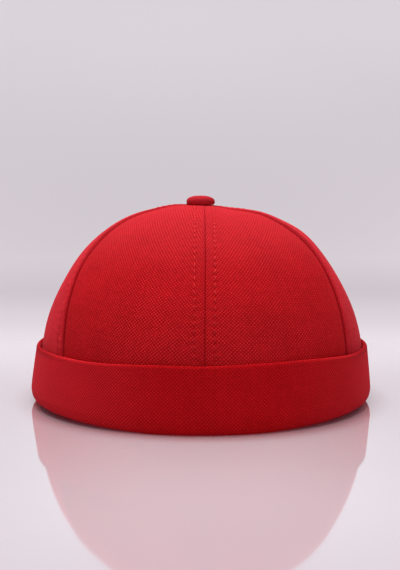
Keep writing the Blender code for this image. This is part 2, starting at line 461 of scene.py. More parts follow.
def weaveGroup():
    # plain weave from a map in metres: warp runs along the map's second axis, weft along its first
    tree, entry = newTree(
        "plain weave", "ShaderNodeTree", {"Vector": ["Map"], "Float": ["Pitch", "Slub"]},
        {"Float": ["Height", "Weft On Top", "Gap", "Thread Tone", "Crossing Tone"]},
    )
    clothMap = entry["Map"]
    drift = noise(clothMap, weave["slubScale"], 2.0, "Color")
    drift = scaled(vectorMath("SUBTRACT", drift, (0.5, 0.5, 0.5)), entry["Slub"] * weave["slubGain"])
    threads = vectorMath("ADD", scaled(clothMap, 1.0 / entry["Pitch"]), drift)
    u, v, _ = split(threads)
    waveU, waveV = ((part * math.pi).sine() for part in (u, v))
    over = (waveU * waveV * weave["crispness"]).least(1.0).most(-1.0)
    warpRound, weftRound = (abs(wave) ** weave["roundness"] for wave in (waveU, waveV))
    dip = weave["dip"]
    height = (warpRound * (over * dip + (1.0 - dip))).most(weftRound * (over * -dip + (1.0 - dip)))
    fuzz = noise(clothMap, weave["fuzzScale"], 2.0) - 0.5

    # every thread has a tone of its own, and so has every crossing: 0.37 keeps weft unlike warp
    def ownTone(dimensions, key, value):
        return output(tree, "ShaderNodeTexWhiteNoise", {key: value}, "Value", noise_dimensions=dimensions)

    warpTone = ownTone("1D", "W", u.floor())
    weftTone = ownTone("1D", "W", v.floor() + 0.37)
    onTop = over * 0.5 + 0.5
    addNode(tree, "NodeGroupOutput", {
        "Height": fuzz * weave["fuzz"] + height,
        "Weft On Top": over * -0.5 + 0.5,
        "Gap": (1.0 - warpRound.most(weftRound)) * weave["gap"],
        "Thread Tone": output(tree, "ShaderNodeMix", {0: onTop, 2: weftTone, 3: warpTone}, data_type="FLOAT"),
        "Crossing Tone": ownTone("2D", "Vector", vectorMath("FLOOR", threads)),
    })
    return tree


plainWeave = weaveGroup()

crownCloth = {
    "name": "crown cloth",
    "colour": (0.564, 0.0255, 0.0345),
    "deep": (0.425, 0.0, 0.0002),
    # the colour of the painted shade in the seams and over the cuff's lip
    "seamShadeColour": (0.170, 0.0, 0.0004),
    "paintedSheenColour": (0.500, 0.046, 0.064),  # painted sheen: the paler colour towards the top
    "paintedSheenAmount": 0.33,  # how much less of the painted sheen the weft has than the warp, which has the next value times this
    "paintedSheenWarp": 1.2,
    "paintedSheenAxis": 2,
    "paintedSheenShift": 0.0,
    "paintedSheenFrom": 70.0 * mm,
    "paintedSheenTo": 101.0 * mm,
    "roughness": 0.86,
    "gapRoughness": 0.10,
    "specular": 0.02,
    "sheen": 0.02,
    "sheenRoughness": 0.25,
    "sheenTint": (1.0, 0.32, 0.42),
    "weftShade": 0.90,
    "gapShade": 0.75,
    "toneSpread": 0.10,
    "crossingSpread": 0.22,
    "blotch": 0.13,
    "blotchScale": 55.0,
    "bump": 0.55,
    "pitch": weave["pitch"],
    "hasRows": True,
    "hole": 0.42 * mm,  # a needle hole's radius, and how far apart they are taken to be
    "holeStep": 4.0 * mm,
    "holeShade": 0.5,
    "holeDepth": 0.9,
    "lint": 0.8,
    "lintColour": (0.58, 0.030, 0.040),
    "lintScale": 95.0,
    "lintShare": 0.10,  # the share of the cells that hold a speck
    "lintSize": (0.026, 0.055),
}
# painted sheen: the side panels take a paler, pinker copy of the crown cloth, for the sheen that they show at
# a slant
sheenPaintedCloth = dict(
    crownCloth, name="side panel cloth with painted sheen", colour=(0.672, 0.0345, 0.0495), deep=(0.470, 0.0022, 0.0042),
    weftShade=0.62, sheen=0.08,
)
# painted sheen: the cuff is painted paler towards the hips, for the sheen that its nap shows at a slant there
cuffCloth = dict(
    crownCloth, name="cuff cloth", colour=(0.540, 0.0118, 0.0175), deep=(0.395, 0.0, 0.0002), weftShade=0.76,
    crossingSpread=0.14, sheen=0.07, bump=0.60, hasRows=False, paintedSheenColour=(0.850, 0.031, 0.046), paintedSheenAmount=0.73,
    paintedSheenAxis=0, paintedSheenShift=8.0 * mm, paintedSheenFrom=20.0 * mm, paintedSheenTo=100.0 * mm,
)
buttonCloth = dict(
    crownCloth, name="button cloth", colour=(0.440, 0.0130, 0.0205), deep=(0.320, 0.0002, 0.0010),
    weftShade=0.25, gapShade=0.60, specular=0.04, sheen=0.06, pitch=0.80 * mm, hasRows=False, lint=0.0,
)


def clothMaterial(cloth):
    material, tree, shader = newMaterial(cloth["name"])
    place = objectPlace(tree)
    clothMap = output(tree, "ShaderNodeUVMap", uv_map="clothMap")
    inputs = {"Map": clothMap, "Pitch": cloth["pitch"], "Slub": weave["slub"]}
    woven = addNode(tree, "ShaderNodeGroup", inputs, node_tree=plainWeave)
    height, weft, gap, tone, crossing = map(Wire, woven.outputs)

    def mask(name):
        return output(tree, "ShaderNodeAttribute", key="Fac", attribute_name=name)

    # broad soft blotches and threads of slightly different tone; the darker weft and the dark gaps are partly
    # the weave's own look and partly painted shade of the thread relief
    light = (noise(place, cloth["blotchScale"], 3.0) - 0.5) * (2.0 * cloth["blotch"]) + 1.0
    light = (tone - 0.5) * cloth["toneSpread"] + light
    light = (crossing - 0.5) * cloth["crossingSpread"] + light
    dark = gap * cloth["gapShade"] + weft * cloth["weftShade"]
    grey = output(tree, "ShaderNodeCombineColor", {0: light, 1: light, 2: light})
    colour = mixColour("MULTIPLY", 1.0, mixColour("MIX", dark, cloth["colour"], cloth["deep"]), grey)

    # painted sheen: the cloth is painted paler towards the crown's top and the cuff's sides, where light from
    # above and at a slant makes the nap shine
    reach = abs(split(place)[cloth["paintedSheenAxis"]] - cloth["paintedSheenShift"])
    raised = rise(reach, cloth["paintedSheenFrom"], cloth["paintedSheenTo"])
    paintedSheen = raised * (weft * -cloth["paintedSheenAmount"] + cloth["paintedSheenWarp"] * cloth["paintedSheenAmount"])
    colour = mixColour("MIX", paintedSheen, colour, cloth["paintedSheenColour"])

    # painted shade: the cloth is painted darker where it turns into a seam or over the lip, and round each
    # needle hole
    colour = mixColour("MIX", mask("paintedShade"), colour, cloth["seamShadeColour"])
    if cloth["hasRows"]:
        across = mask("rowAway") / cloth["hole"]
        halfStitch = output(tree, "ShaderNodeMath", {0: mask("rowCount"), 1: 0.5}, operation="PINGPONG")
        along = halfStitch * (cloth["holeStep"] / cloth["hole"])
        hole = output(tree, "ShaderNodeMath", {0: -(across * across + along * along)}, operation="EXPONENT")
        colour = mixColour("MIX", hole * cloth["holeShade"], colour, cloth["deep"])
        height = hole * -cloth["holeDepth"] + height

    if cloth["lint"]:
        # a few pale specks of lint
        small, large = cloth["lintSize"]
        cells = addNode(tree, "ShaderNodeTexVoronoi", {"Vector": place, "Scale": cloth["lintScale"]})
        limits = {"Value": Wire(cells.outputs["Distance"]), "From Min": small, "From Max": large,
                  "To Min": 1.0, "To Max": 0.0}
        chosen = output(tree, "ShaderNodeSeparateColor", {0: Wire(cells.outputs["Color"])})
        rare = output(tree, "ShaderNodeMath", {0: chosen, 1: cloth["lintShare"]}, operation="LESS_THAN")
        speck = output(tree, "ShaderNodeMapRange", limits) * rare * cloth["lint"]
        colour = mixColour("MIX", speck, colour, cloth["lintColour"])

    bump = {"Height": height, "Strength": cloth["bump"], "Distance": weave["depth"]}
    plug(shader, {
        "Base Color": colour,
        "Roughness": gap * cloth["gapRoughness"] + cloth["roughness"],
        "Specular IOR Level": cloth["specular"],
        "Sheen Weight": cloth["sheen"],
        "Sheen Roughness": cloth["sheenRoughness"],
        "Sheen Tint": cloth["sheenTint"],
        "Normal": output(tree, "ShaderNodeBump", bump, "Normal"),
    })
    return material


# Crown: six panels from the same plan and profile as their solids

panelEnds = {
    "front_right_panel": ("front", "right"),
    "side_right_panel": ("right", "backRight"),
    "back_right_panel": ("backRight", "back"),
    "back_left_panel": ("back", "backLeft"),
    "side_left_panel": ("backLeft", "left"),
    "front_left_panel": ("left", "frontAgain"),
}
# how far each front panel's threads slant from its middle line and from level
grain = {"front_left_panel": (-0.15, 0.08), "front_right_panel": (0.05, 0.05)}
# broad dents and swells in the cloth: centre across and deep, their sizes, and how far in they go
dents = np.array([
    (19.0, 0.0, 11.0, 40.0, 1.5),
    (57.0, 5.0, 9.0, 40.0, -1.0),
    (-14.0, -2.0, 8.0, 30.0, -0.5),
]) * mm

frontSeam = {
    "drift": 2.2 * mm,  # how far the seam ends aside
    "valley": 0.4,  # depth of the broad hollow along the seam, as a share of the crown's
    "pinch": 0.12 * mm,  # depth of the narrower one
    "roll": 0.45 * mm,  # radius of the turned-in edge
    "plump": 0.30 * mm,  # how far the allowance lifts the cloth
    "row": 5.4 * mm,  # from the seam to its stitches
    "stitchedTo": 6.5 * mm,  # how near the middle they run
    "sink": 0.30 * mm,  # how deep they lie
    "seat": 0.50,  # how high the thread lies on the cloth, in its own radii
    "shade": 0.10,  # how much painted shade the cloth has in the crease
    "shadeWidth": 1.0 * mm,
    "topShade": 0.0,  # the same over the shoulder
    "coreShade": 0.36,  # the line in its middle
    "coreWidth": 0.36 * mm,
    "coreFade": 1.0,  # how much of that line fades towards the button
    "rowShade": 0.0,  # the crease along the stitches near the cuff
}
sideSeam = dict(
    frontSeam, drift=0.0, valley=0.45, pinch=0.90 * mm, roll=1.30 * mm, plump=0.60 * mm, row=5.6 * mm,
    stitchedTo=13.0 * mm, sink=0.40 * mm, seat=-0.30, shade=0.40, shadeWidth=1.6 * mm, topShade=0.55,
    coreShade=0.94, coreWidth=1.5 * mm, coreFade=0.0, rowShade=0.45,
)
# the front panels lie flat up to the side seams, with no row of stitches there
flatSide = {
    "plump": 0.10 * mm, "sink": 0.0, "stitchedTo": math.inf, "topShade": 0.0, "shadeWidth": 0.8 * mm,
    "coreWidth": 1.15 * mm, "rowShade": 0.0,
}
# where the seams run: azimuths at shares of the dome's height
rightPath = [(0.0, 57.8), (0.2, 60.2), (0.4, 63.6), (0.6, 66.4), (0.8, 67.6), (1.0, 68.0)]
leftPath = [(0.0, 303.8), (0.2, 300.4), (0.4, 296.2), (0.6, 291.0), (0.8, 287.4), (1.0, 284.5)]
seams = {
    "front": dict(frontSeam, path=[(0.0, -0.5), (1.0, 0.0)], row=4.9 * mm),
    "right": dict(sideSeam, path=rightPath),
    "backRight": dict(sideSeam, path=[(0.0, 122.0), (1.0, 124.0)]),
    "back": dict(frontSeam, path=[(0.0, 180.0), (1.0, 180.0)], valley=0.6, drift=0.0),
    "backLeft": dict(sideSeam, path=[(0.0, 238.0), (1.0, 234.0)]),
    "left": dict(sideSeam, path=leftPath),
    "frontAgain": dict(frontSeam, path=[(0.0, 359.5), (1.0, 360.0)]),
}
# where a seam's painted shade begins and ends as the seam climbs, and how wide it is
seamShade = {
    "topRise": (0.42, 0.67),
    "topWidth": 5.0 * mm,
    "coreFall": (0.50, 0.90),
    "coreRise": (0.0, 0.40),
    "coreLeast": 0.74,
    "rowFall": (4.0 * mm, 24.0 * mm),
    "rowWidth": 0.9 * mm,
}
cuffLow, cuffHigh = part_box("cuff")
cuffShape = {
    "halfWidth": 0.5 * (cuffHigh.x - cuffLow.x),
    "halfDepth": 0.5 * (cuffHigh.y - cuffLow.y),
    "height": cuffHigh.z + 0.4 * mm,
    "thickness": 2.5 * mm,
    "lean": 2.8 * mm,
    "leanSkew": 0.6 * mm,  # more on the left, less on the right
    "leanPower": 1.15,
    "foldRise": 2.5 * mm,
    "foldInset": 2.4 * mm,
    "webInset": 4.9 * mm,
    "webEdge": 0.5 * mm,
    "edgeLift": 2.7 * mm,
    "liftStart": 0.30,
    "liftPower": 1.1,
    "lipDrop": 3.0 * mm,
    "lipRise": 2.3 * mm,
    "lipShade": 0.60,
    "lipShadeAt": -0.3 * mm,
    "lipShadeWidth": 2.0 * mm,
    "lipShadeRise": (45.0, 70.0),  # degrees from the front
    "freeRise": 1.2,  # how high up it wavers in full, in bellies
    "wobble": 0.30 * mm,
    "wobbleSize": 42.0 * mm,
    "wobbleSeed": 23,
    "joinDepth": 0.7 * mm,
    "joinWidth": 0.9 * mm,
    "columns": 480,
}
cuffShape["belly"] = cuffShape["thickness"] + cuffShape["foldRise"]
# azimuth, and how low the lip is there as a share of lipDrop
lipLine = np.array([
    (0.0, 0.20), (16.0, 0.0), (28.0, 0.0), (66.0, 0.88), (100.0, 0.94),
    (180.0, 0.35), (265.0, 1.0), (315.0, 0.68), (348.0, 0.16), (360.0, 0.20),
])
crownShape = {
    "top": max(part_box(name)[1].z for name in panelEnds),
    "base": cuffHigh.z - 2.8 * mm,
    "clearance": 0.6 * mm,
    "pieceGap": 0.3 * mm,
    "wall": 1.8 * mm,
    "valley": 1.4 * mm,
    "valleyPower": 4.0,
    "valleyFade": 0.30,
    "buttonHole": 3.0 * mm,
    "shoulder": 2.78,
    "rise": 1.42,
    "pinchWidth": 1.9 * mm,
    "seamAir": 0.05 * mm,
    "seamBlend": 0.05,  # the paths are smoothed over this share of the height
    "driftEnd": 6.0 * mm,  # nearer the middle than this the seams drift aside no more
    "plumpAt": 0.50,  # where the allowance lifts the cloth, as a share of the way to the stitches
    "plumpWidth": 0.48,
    "allowance": 0.45 * mm,  # thickness of the seam allowance inside, less by allowanceDip at the seam
    "allowanceEnd": (6.3 * mm, 7.5 * mm),
    "allowanceStart": 1.1 * mm,
    "allowanceDip": 0.8,
    "wobble": 0.22 * mm,
    "wobbleSize": 34.0 * mm,
    "wobbleSeed": 11,
    "tucked": 0.4,  # share of the relief that is left behind the cuff
    "tuckRise": 4.0 * mm,
    "threadBend": 0.25,
    "tightest": 20.0 * mm,  # the least radius that the threads bend to
    "hiddenRowStep": 1.8 * mm,
    "rowStep": 0.75 * mm,
    "drawSteps": 97,
    "rollColumns": 7,
    "nearColumns": 18,
    "nearWidth": 9.0 * mm,
    "fullRoom": 3.0,  # how many times that a panel is wide where its seams have their full size
    "farColumns": 24,
}
stitching = {
    "pitch": 4.15 * mm,
    "length": 2.1 * mm,
    "thread": 0.24 * mm,
    "arch": 0.14 * mm,
    "skew": math.radians(6.0),
    "seed": 4,
    "lengthSpread": (0.93, 1.06),
    "taper": 0.45,
    "taperPower": 4.0,
    "archEnd": -0.8,  # heights of the thread's ends and of the point it bends towards, in arches
    "archPeak": 2.4,
    "arcPoints": 7,
    "sides": 6,
    "marks": 8,  # points of the row's line to each stitch
    "room": 1.25,  # a row stops where the panel is narrower than this times its distance from the seam
    "hidden": 4.0 * mm,  # how far down behind the cuff the rows go on
    "sinkWidth": 0.85 * mm,
    "sinkWave": 0.28,
    "pucker": 0.10 * mm,
    "puckerAway": 1.6 * mm,
    "puckerWidth": 1.1 * mm,
    "colour": (0.900, 0.052, 0.052),
    # painted light and shade: the thread's colour low down, and the heights over which it is painted paler
    # towards the top
    "lowColour": (0.500, 0.013, 0.019),
    "fibreDark": 0.70,
    "fibreScale": 2600.0,
    "fibreDepth": 0.05 * mm,
    "bump": 0.6,
    "paleFrom": 48.0 * mm,
    "paleTo": 80.0 * mm,
    "roughness": 0.60,
    "specular": 0.05,
    "sheen": 0.03,
    "sheenTint": (1.0, 0.60, 0.62),
}


def edgeHeight(azimuth):
    aside = np.abs(np.sin(np.radians(azimuth)))
    lifted = np.maximum(0.0, (aside - cuffShape["liftStart"]) / (1.0 - cuffShape["liftStart"]))
    return cuffShape["edgeLift"] * lifted ** cuffShape["liftPower"]


def lipHeight(azimuth):
    azimuth = np.asarray(azimuth, float) % 360.0
    mark = np.clip(np.searchsorted(lipLine[:, 0], azimuth, side="right") - 1, 0, len(lipLine) - 2)
    near, far = lipLine[mark], lipLine[mark + 1]
    along = ramp(azimuth, near[..., 0], far[..., 0])
    return cuffShape["height"] - cuffShape["lipDrop"] * (near[..., 1] + (far[..., 1] - near[..., 1]) * along)


def fullLean(azimuth):
    return cuffShape["lean"] - cuffShape["leanSkew"] * np.sin(np.radians(azimuth))


def leanAt(height, azimuth):
    belly = edgeHeight(azimuth) + cuffShape["belly"]
    share = np.clip((height - belly) / (crownShape["base"] - belly), 0.0, 1.0)
    return fullLean(azimuth) * share ** cuffShape["leanPower"]


def crownPoint(azimuth, climb):
    # climb runs from -1 at the hem over 0 where the dome begins to 1 at the button's hole
    azimuth, climb = np.broadcast_arrays(np.asarray(azimuth, float), np.asarray(climb, float))
    inset = cuffShape["thickness"] + crownShape["clearance"]
    hem = edgeHeight(azimuth) + cuffShape["thickness"] + crownShape["pieceGap"]
    wallHeight = hem + (crownShape["base"] - hem) * np.clip(1.0 + climb, 0.0, 1.0)
    halfWidth = cuffShape["halfWidth"] - inset - cuffShape["lean"]
    lastTurn = math.acos((crownShape["buttonHole"] / halfWidth) ** (crownShape["shoulder"] / 2.0))
    turn = lastTurn * np.clip(climb, 0.0, 1.0)
    spread = np.cos(turn) ** (2.0 / crownShape["shoulder"])
    domeRise = (crownShape["top"] - crownShape["base"]) * np.sin(turn) ** (2.0 / crownShape["rise"])
    height = np.where(climb < 0.0, wallHeight, crownShape["base"] + domeRise)
    drawnIn = inset + np.where(climb < 0.0, leanAt(wallHeight, azimuth), fullLean(azimuth))
    angle = np.radians(azimuth)
    x = (cuffShape["halfWidth"] - drawnIn) * spread * np.sin(angle)
    y = -(cuffShape["halfDepth"] - drawnIn) * spread * np.cos(angle)
    return np.stack([x, y, height], axis=-1)


def crownNormal(azimuth, climb):
    # from small steps aside, in degrees, and up and down
    aside, up = 0.02, 2e-4
    across = crownPoint(azimuth + aside, climb) - crownPoint(azimuth - aside, climb)
    along = crownPoint(azimuth, np.minimum(climb + up, 1.0)) - crownPoint(azimuth, climb - up)
    normal = np.cross(across, along)
    return normal / np.linalg.norm(normal, axis=-1, keepdims=True)


def seamAzimuth(seam, climb):
    line = crownPoint(seam["path"][0][1], climb)
    share = np.maximum(0.0, (line[..., 2] - crownShape["base"]) / (crownShape["top"] - crownShape["base"]))
    toCentre = np.maximum(np.hypot(line[..., 0], line[..., 1]), crownShape["driftEnd"])
    aside = seam["drift"] * (1.0 - toCentre / cuffShape["halfDepth"])
    # the marks are joined by straight lines, which are then smoothed
    shares = np.linspace(-0.5, 1.5, 401)
    marked = np.interp(shares, *np.transpose(seam["path"]))
    kernel = hump(np.linspace(-0.1, 0.1, 41), crownShape["seamBlend"])
    smoothed = np.convolve(np.pad(marked, 20, mode="edge"), kernel / kernel.sum(), mode="valid")
    return np.interp(share, shares, smoothed) + np.degrees(aside / toCentre)


def evenClimbs():
    # rows of nearly even spacing up the crown, coarser where the cuff hides them
    fine = np.linspace(-1.0, 1.0, 4001)
    run = runAlong(crownPoint(30.0, fine))
    wallRun = np.interp(0.0, fine, run)
    hidden = np.arange(0.0, wallRun - 2.0 * crownShape["hiddenRowStep"], crownShape["hiddenRowStep"])
    rows = int((run[-1] - hidden[-1]) / crownShape["rowStep"])
    shown = np.linspace(hidden[-1] + crownShape["hiddenRowStep"], run[-1], rows)
    return np.interp(np.concatenate([hidden, shown]), run, fine)


def seamRelief(away, seam, room):
    roll = seam["roll"] * room
    turned = np.clip(1.0 - away / roll, 0.0, 1.0)
    groove = -roll * (1.0 - np.sqrt(1.0 - turned**2))
    row = seam["row"]
    plump = seam["plump"] * hump(away - crownShape["plumpAt"] * row, crownShape["plumpWidth"] * row)
    return groove + plump * room


class Panel:
    # the rows and columns of one panel's cloth, with its seams, threads and stitch rows worked out
    def __init__(self, name):
        self.name = name
        self.seams = [seams[end] for end in panelEnds[name]]
        if name.startswith("front"):
            self.seams = [dict(seam, **flatSide) if seam["drift"] == 0.0 else seam for seam in self.seams]
        self.climb = evenClimbs()
        self.placeColumns()
        self.mapCloth()
        self.placeRows()

    def placeColumns(self):
        climb = self.climb[:, None]
        start, stop = (seamAzimuth(seam, self.climb)[:, None] for seam in self.seams)
        azimuths = start + (stop - start) * np.linspace(0.0, 1.0, crownShape["drawSteps"])
        steps = np.linalg.norm(np.diff(crownPoint(azimuths, climb), axis=1), axis=2)
        run = np.concatenate([np.zeros((len(climb), 1)), np.cumsum(steps, axis=1)], axis=1)
        self.width = run[:, -1]
        # columns crowd towards the seams: round the roll by even angles, then evenly, then wider
        rollAngles = np.radians(np.linspace(0.0, 90.0, crownShape["rollColumns"]))
        half = []
        for seam in self.seams:
            roll = seam["roll"] * (1.0 - np.cos(rollAngles))
            near = np.linspace(seam["roll"], crownShape["nearWidth"], crownShape["nearColumns"])[1:]
            half.append(np.concatenate([roll, near]))
        # room is how much of their full size the seams have in each row, less where the panel is narrow
        self.room = np.minimum(1.0, self.width / (crownShape["fullRoom"] * crownShape["nearWidth"]))
        rows = []
        for width, room in zip(self.width, self.room):
            left, right = (part * room for part in half)
            middle = np.linspace(left[-1], width - right[-1], 2 * crownShape["farColumns"])[1:-1]
            away = np.concatenate([left, middle, width - right[::-1]])
            rows.append(np.clip(away, crownShape["seamAir"], width - crownShape["seamAir"]))
        self.away = np.array(rows)
        self.sides = [self.away, self.width[:, None] - self.away]
        self.azimuth = np.array([np.interp(a, r, z) for a, r, z in zip(self.away, run, azimuths)])
        self.smooth = crownPoint(self.azimuth, climb)
        self.normal = crownNormal(self.azimuth, climb)
        self.height = self.smooth[..., 2] - crownShape["base"]

    def mapCloth(self):
        # threads run parallel to the panel's middle line, so they meet its seams at a slant
        across = self.away - 0.5 * self.width[:, None]
        middle = crownPoint(0.5 * (self.azimuth[:, 0] + self.azimuth[:, -1]), self.climb)
        run = runAlong(middle)
        bend = np.clip(-np.gradient(self.width, run) / self.width, 0.0, 1.0 / crownShape["tightest"])
        along = run[:, None] + crownShape["threadBend"] * bend[:, None] * across**2
        acrossByAlong, alongByAcross = grain.get(self.name, (0.0, 0.0))
        self.clothMap = np.stack([across + acrossByAlong * along, along + alongByAcross * across], axis=-1)
        self.toCentre = np.hypot(middle[:, 0], middle[:, 1])

    def placeRows(self):
        # where each seam's row of stitches runs on this panel, counted in stitches
        self.rowCount = np.full(self.away.shape, 0.5)
        self.rowAway = np.full(self.away.shape, 1.0)
        self.rowSink = np.zeros(self.away.shape)
        self.lines = []
        for side, seam in enumerate(self.seams):
            wide = self.width > stitching["room"] * seam["row"]
            reach = wide & (self.toCentre > seam["stitchedTo"])
            if not reach.any():
                continue
            rows = slice(0, int(np.nonzero(reach)[0].max()) + 1)
            target = np.full(rows.stop, seam["row"])
            if side == 1:
                target = self.width[rows] - target
            azimuth = self.along(target, self.azimuth[rows])
            count = runAlong(crownPoint(azimuth, self.climb[rows])) / stitching["pitch"]
            total = math.floor(count[-1])
            nearest = self.sides[side] <= self.sides[1 - side]
            nearest[rows.stop:] = False
            self.rowAway = np.where(nearest, self.sides[side] - seam["row"], self.rowAway)
            self.rowSink = np.where(nearest, seam["sink"], self.rowSink)
            counted = np.full(len(self.climb), 0.5)
            counted[rows] = np.minimum(count, total)
            self.rowCount = np.where(nearest, counted[:, None], self.rowCount)
            lift = seam["seat"] * stitching["thread"]
            self.lines.append(dict(
                rows=rows, target=target, azimuth=azimuth, count=count, total=total, lift=lift
            ))

    def along(self, target, grid):
        # a grid's value in each row at that row's own distance from the left seam
        return np.array([np.interp(t, a, row) for t, a, row in zip(target, self.away, grid)])

    def relief(self):
        climb = self.climb[:, None]
        fade = smoothStep((1.0 - climb) / crownShape["valleyFade"])
        share = (self.azimuth - self.azimuth[:, :1]) / (self.azimuth[:, -1:] - self.azimuth[:, :1])
        depth = np.where(share < 0.5, self.seams[0]["valley"], self.seams[1]["valley"])
        valley = crownShape["valley"] * depth * fade * np.abs(2.0 * share - 1.0) ** crownShape["valleyPower"]
        tucked = crownShape["tucked"]
        tucked = tucked + (1.0 - tucked) * smoothStep(self.height / crownShape["tuckRise"])
        broad = tucked * wobble(self.smooth, crownShape) - valley
        for across, deep, acrossSize, deepSize, inward in dents:
            spot = hump(self.smooth[..., 0] - across, acrossSize) * hump(self.smooth[..., 1] - deep, deepSize)
            broad -= inward * spot * tucked
        fine = np.zeros(self.away.shape)
        for away, seam in zip(self.sides, self.seams):
            broad -= seam["pinch"] * self.room[:, None] * hump(away, crownShape["pinchWidth"])
            fine += seamRelief(away, seam, self.room[:, None])
        wave = np.cos(2.0 * math.pi * self.rowCount)
        sunk = 1.0 - stitching["sinkWave"] * (1.0 - wave)
        fine -= self.rowSink * hump(self.rowAway, stitching["sinkWidth"]) * sunk
        beside = hump(np.abs(self.rowAway) - stitching["puckerAway"], stitching["puckerWidth"])
        fine -= stitching["pucker"] * wave * beside
        return broad, np.where(fine > 0.0, fine * tucked, fine)

    def shade(self):
        # painted shade along each seam: in its crease, as a dark middle line, over the shoulder and along the
        # stitches near the cuff
        climb = self.climb[:, None]
        paintedShade = np.zeros(self.away.shape)
        for away, seam in zip(self.sides, self.seams):
            dark = seam["shade"] * hump(away, seam["shadeWidth"]) * self.room[:, None]
            over = seam["topShade"] * ramp(climb, *seamShade["topRise"]) * hump(away, seamShade["topWidth"])
            faded = 1.0 - seam["coreFade"] * ramp(climb, *seamShade["coreFall"])
            least = seamShade["coreLeast"]
            faded = faded * (least + (1.0 - least) * ramp(climb, *seamShade["coreRise"]))
            core = seam["coreShade"] * faded * hump(away, seam["coreWidth"])
            low = 1.0 - ramp(self.height, *seamShade["rowFall"])
            beside = seam["rowShade"] * low * hump(away - seam["row"], seamShade["rowWidth"])
            for part in (dark, over, core, beside):
                paintedShade = np.maximum(paintedShade, part)
        return paintedShade

    def build(self, material):
        broad, fine = self.relief()
        self.outer = self.smooth + self.normal * (broad + fine)[..., None]
        seamAway = np.minimum(*self.sides)
        allowance = 1.0 - ramp(seamAway, *crownShape["allowanceEnd"])
        allowance *= 1.0 - crownShape["allowanceDip"] * hump(seamAway, crownShape["allowanceStart"])
        under = crownShape["wall"] + crownShape["allowance"] * allowance * self.room[:, None]
        inner = self.smooth + self.normal * (broad - under)[..., None]
        mesh = shellMesh(self.name + "_cloth", self.outer, inner, self.clothMap)
        # the inner sheet has no painted shade in creases or round holes
        for name, grid, inside in (
            ("paintedShade", self.shade(), 0.0), ("rowAway", self.rowAway, 1.0), ("rowCount", self.rowCount, 0.5),
        ):
            storeFloats(mesh, name, np.concatenate([grid.ravel(), np.full(grid.size, inside)]))
        mesh.materials.append(material)
        return addObject(self.name + "_cloth", mesh)

    def stitchLines(self):
        # points at even steps along each row, from the middle of its first shown stitch to that of its last
        found = []
        for line in self.lines:
            points = np.stack([self.along(line["target"], self.outer[..., k]) for k in range(3)], axis=1)
            normals = crownNormal(line["azimuth"], self.climb[line["rows"]])
            counts = np.arange(0.5, line["total"] - 0.49, 1.0 / stitching["marks"])
            place, normal = (
                np.stack([np.interp(counts, line["count"], part) for part in grid.T], axis=1)
                for grid in (points, normals)
            )
            shown = place[:, 2] > crownShape["base"] - stitching["hidden"]
            first = math.ceil(np.nonzero(shown)[0][0] / stitching["marks"]) * stitching["marks"]
            found.append((place[first:] + normal[first:] * line["lift"], normal[first:]))
        return found


def shellMesh(name, outer, inner, clothMap):
    # two sheets of the same grid, closed round their four edges
    rows, columns = outer.shape[:2]
    index = np.arange(rows * columns).reshape(rows, columns)
    inside = index + rows * columns

    def quads(grid):
        corners = (grid[:-1, :-1], grid[:-1, 1:], grid[1:, 1:], grid[1:, :-1])
        return np.stack(corners, axis=-1).reshape(-1, 4)

    rim = np.concatenate([index[0, :], index[1:, -1], index[-1, -2::-1], index[-2:0:-1, 0]])
    after = np.roll(rim, -1)
    edge = np.stack([after, rim, rim + rows * columns, after + rows * columns], axis=-1)
    faces = np.concatenate([quads(index), quads(inside)[:, ::-1], edge])
    mesh = bpy.data.meshes.new(name)
    mesh.from_pydata(np.concatenate([outer.reshape(-1, 3), inner.reshape(-1, 3)]), [], faces.tolist())
    layer = mesh.uv_layers.new(name="clothMap")
    flat = np.concatenate([clothMap.reshape(-1, 2)] * 2)
    layer.data.foreach_set("uv", flat[faces.ravel()].astype(np.float32).ravel())
    mesh.shade_smooth()
    mesh.set_sharp_from_angle(angle=math.radians(70.0))
    mesh.update()
    return mesh


crownMaterial = clothMaterial(crownCloth)
sheenPaintedMaterial = clothMaterial(sheenPaintedCloth)
panels = {}
for name in panelEnds:
    panels[name] = Panel(name)
    piece = panels[name].build(sheenPaintedMaterial if name.startswith("side") else crownMaterial)
    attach(piece, "root")
    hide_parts(name)
    print("Panel", name, "has", len(piece.data.polygons), "faces")


# Cuff and button: a section carried round the cap by Geometry Nodes

